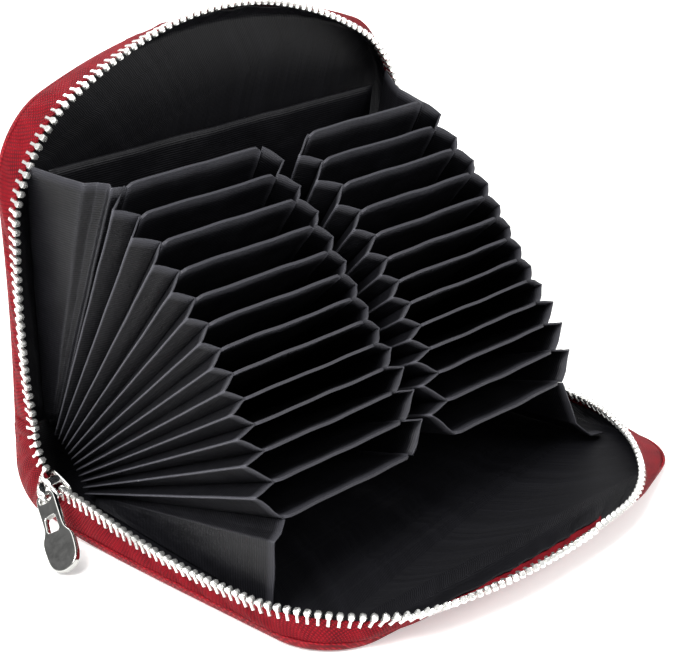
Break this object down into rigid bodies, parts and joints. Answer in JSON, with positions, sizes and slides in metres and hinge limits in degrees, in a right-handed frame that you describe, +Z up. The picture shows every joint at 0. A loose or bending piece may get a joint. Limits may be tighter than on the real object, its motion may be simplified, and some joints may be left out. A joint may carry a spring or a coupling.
{
  "type": "card holder wallet",
  "caption": "Zip-around card holder wallet, opened on its spine: two leather covers, an accordion of card partitions in two columns, note pockets, slider and pull.",
  "frame": {"origin": "centre of the front cover's flat underside, on the surface it lies on", "axes": "+X along the spine toward the right end, +Y from the zip side to the spine, +Z up"},
  "size_m": [0.1655, 0.1324, 0.1268],
  "materials": {
    "leather_red": "fine pebble grain, satin",
    "tape_red": "woven tape",
    "lining_black": "fine ribbed weave",
    "board_grey": "plain board, covered",
    "zip_nickel": "polished",
    "tab_nickel": "satin with polished rims"
  },
  "bodies": {
    "front_cover": {"front_cover_leather": "leather_red", "front_board": "board_grey", "front_lining": "lining_black", "front_zip_tape": "tape_red", "front_zip_chain": "zip_nickel", "front_top_stop": "zip_nickel", "zip_end_run": "zip_nickel", "front_pocket_gusset_left": "lining_black", "front_pocket_gusset_right": "lining_black"},
    "spine": {"spine_leather": "leather_red", "spine_lining": "lining_black", "zip_tape_end_left": "tape_red", "zip_tape_end_right": "tape_red", "accordion_base": "lining_black", "gusset_left": "lining_black", "gusset_mid_left": "lining_black", "gusset_mid_right": "lining_black", "gusset_right": "lining_black"},
    "rear_cover": {"rear_cover_leather": "leather_red", "rear_board": "board_grey", "rear_lining": "lining_black", "rear_zip_tape": "tape_red", "rear_zip_chain": "zip_nickel", "rear_top_stop": "zip_nickel", "rear_pocket_gusset_left": "lining_black", "rear_pocket_gusset_right": "lining_black"},
    "divider": {"cash_divider": "lining_black"},
    "slider": {"slider_body": "zip_nickel"},
    "pull": {"pull_tab": "tab_nickel"},
    "partition_01": {"partition_01_left": "lining_black", "partition_01_right": "lining_black"},
    "partition_02": {"partition_02_left": "lining_black", "partition_02_right": "lining_black"},
    "partition_03": {"partition_03_left": "lining_black", "partition_03_right": "lining_black"},
    "partition_04": {"partition_04_left": "lining_black", "partition_04_right": "lining_black"},
    "partition_05": {"partition_05_left": "lining_black", "partition_05_right": "lining_black"},
    "partition_06": {"partition_06_left": "lining_black", "partition_06_right": "lining_black"},
    "partition_07": {"partition_07_left": "lining_black", "partition_07_right": "lining_black"},
    "partition_08": {"partition_08_left": "lining_black", "partition_08_right": "lining_black"},
    "partition_09": {"partition_09_left": "lining_black", "partition_09_right": "lining_black"},
    "partition_10": {"partition_10_left": "lining_black", "partition_10_right": "lining_black"},
    "partition_11": {"partition_11_left": "lining_black", "partition_11_right": "lining_black"},
    "partition_12": {"partition_12_left": "lining_black", "partition_12_right": "lining_black"},
    "partition_13": {"partition_13_left": "lining_black", "partition_13_right": "lining_black"}
  },
  "joints": [
    {"name": "spine_fold", "type": "hinge", "parent": "front_cover", "child": "spine", "pos_m": [0, 0.0505, 0.0006], "axis": [1, 0, 0], "range_deg": [0, 45], "deforming": ["accordion_base", "gusset_left", "gusset_mid_left", "gusset_mid_right", "gusset_right", "zip_end_run", "front_pocket_gusset_left", "front_pocket_gusset_right", "rear_pocket_gusset_left", "rear_pocket_gusset_right"]},
    {"name": "rear_fold", "type": "hinge", "parent": "spine", "child": "rear_cover", "pos_m": [0, 0.06874, 0.01884], "axis": [1, 0, 0], "range_deg": [0, 45.1]},
    {"name": "partition_13_fold", "type": "hinge", "parent": "front_cover", "child": "partition_13", "pos_m": [0, 0.05257, 0.0038], "axis": [1, 0, 0], "range_deg": [0, 15.93]},
    {"name": "partition_12_fold", "type": "hinge", "parent": "partition_13", "child": "partition_12", "pos_m": [0, 0.05304, 0.0052], "axis": [1, 0, 0], "range_deg": [0, 5.52]},
    {"name": "partition_11_fold", "type": "hinge", "parent": "partition_12", "child": "partition_11", "pos_m": [0, 0.05363, 0.00655], "axis": [1, 0, 0], "range_deg": [0, 4.51]},
    {"name": "partition_10_fold", "type": "hinge", "parent": "partition_11", "child": "partition_10", "pos_m": [0, 0.05432, 0.00786], "axis": [1, 0, 0], "range_deg": [0, 3.71]},
    {"name": "partition_09_fold", "type": "hinge", "parent": "partition_10", "child": "partition_09", "pos_m": [0, 0.05509, 0.00912], "axis": [1, 0, 0], "range_deg": [0, 3.61]},
    {"name": "partition_08_fold", "type": "hinge", "parent": "partition_09", "child": "partition_08", "pos_m": [0, 0.05594, 0.01033], "axis": [1, 0, 0], "range_deg": [0, 3.61]},
    {"name": "partition_07_fold", "type": "hinge", "parent": "partition_08", "child": "partition_07", "pos_m": [0, 0.05686, 0.01148], "axis": [1, 0, 0], "range_deg": [0, 3.61]},
    {"name": "partition_01_fold", "type": "hinge", "parent": "rear_cover", "child": "partition_01", "pos_m": [0, 0.06385, 0.01677], "axis": [1, 0, 0], "range_deg": [-22.93, 0]},
    {"name": "partition_02_fold", "type": "hinge", "parent": "partition_01", "child": "partition_02", "pos_m": [0, 0.06252, 0.01614], "axis": [1, 0, 0], "range_deg": [-4.81, 0]},
    {"name": "partition_03_fold", "type": "hinge", "parent": "partition_02", "child": "partition_03", "pos_m": [0, 0.06125, 0.0154], "axis": [1, 0, 0], "range_deg": [-5.22, 0]},
    {"name": "partition_04_fold", "type": "hinge", "parent": "partition_03", "child": "partition_04", "pos_m": [0, 0.06004, 0.01454], "axis": [1, 0, 0], "range_deg": [-4.91, 0]},
    {"name": "partition_05_fold", "type": "hinge", "parent": "partition_04", "child": "partition_05", "pos_m": [0, 0.05891, 0.0136], "axis": [1, 0, 0], "range_deg": [-4.31, 0]},
    {"name": "partition_06_fold", "type": "hinge", "parent": "partition_05", "child": "partition_06", "pos_m": [0, 0.05785, 0.01257], "axis": [1, 0, 0], "range_deg": [-3.81, 0]},
    {"name": "divider_fold", "type": "hinge", "parent": "rear_cover", "child": "divider", "pos_m": [0, 0.06531, 0.01884], "axis": [1, 0, 0], "range_deg": [-6.52, 0]},
    {"name": "slider_travel", "type": "slide", "parent": "front_cover", "child": "slider", "axis": [0, -1, 0], "range_m": [0, 0.06]},
    {"name": "pull_swing", "type": "hinge", "parent": "slider", "child": "pull", "pos_m": [-0.07761, 0.04486, 0.0135], "axis": [-0.588, 0.5629, -0.5809], "range_deg": [0, 55]}
  ],
  "couplings": [
    {"joint": "rear_fold", "follows": "spine_fold", "ratio": 1},
    {"joint": "partition_13_fold", "follows": "spine_fold", "ratio": 0.35333},
    {"joint": "partition_12_fold", "follows": "spine_fold", "ratio": 0.12222},
    {"joint": "partition_11_fold", "follows": "spine_fold", "ratio": 0.1},
    {"joint": "partition_10_fold", "follows": "spine_fold", "ratio": 0.082222},
    {"joint": "partition_09_fold", "follows": "spine_fold", "ratio": 0.08},
    {"joint": "partition_08_fold", "follows": "spine_fold", "ratio": 0.08},
    {"joint": "partition_07_fold", "follows": "spine_fold", "ratio": 0.08},
    {"joint": "partition_01_fold", "follows": "spine_fold", "ratio": -0.50889},
    {"joint": "partition_02_fold", "follows": "spine_fold", "ratio": -0.10667},
    {"joint": "partition_03_fold", "follows": "spine_fold", "ratio": -0.11556},
    {"joint": "partition_04_fold", "follows": "spine_fold", "ratio": -0.10889},
    {"joint": "partition_05_fold", "follows": "spine_fold", "ratio": -0.095556},
    {"joint": "partition_06_fold", "follows": "spine_fold", "ratio": -0.084444},
    {"joint": "divider_fold", "follows": "spine_fold", "ratio": -0.14444}
  ]
}
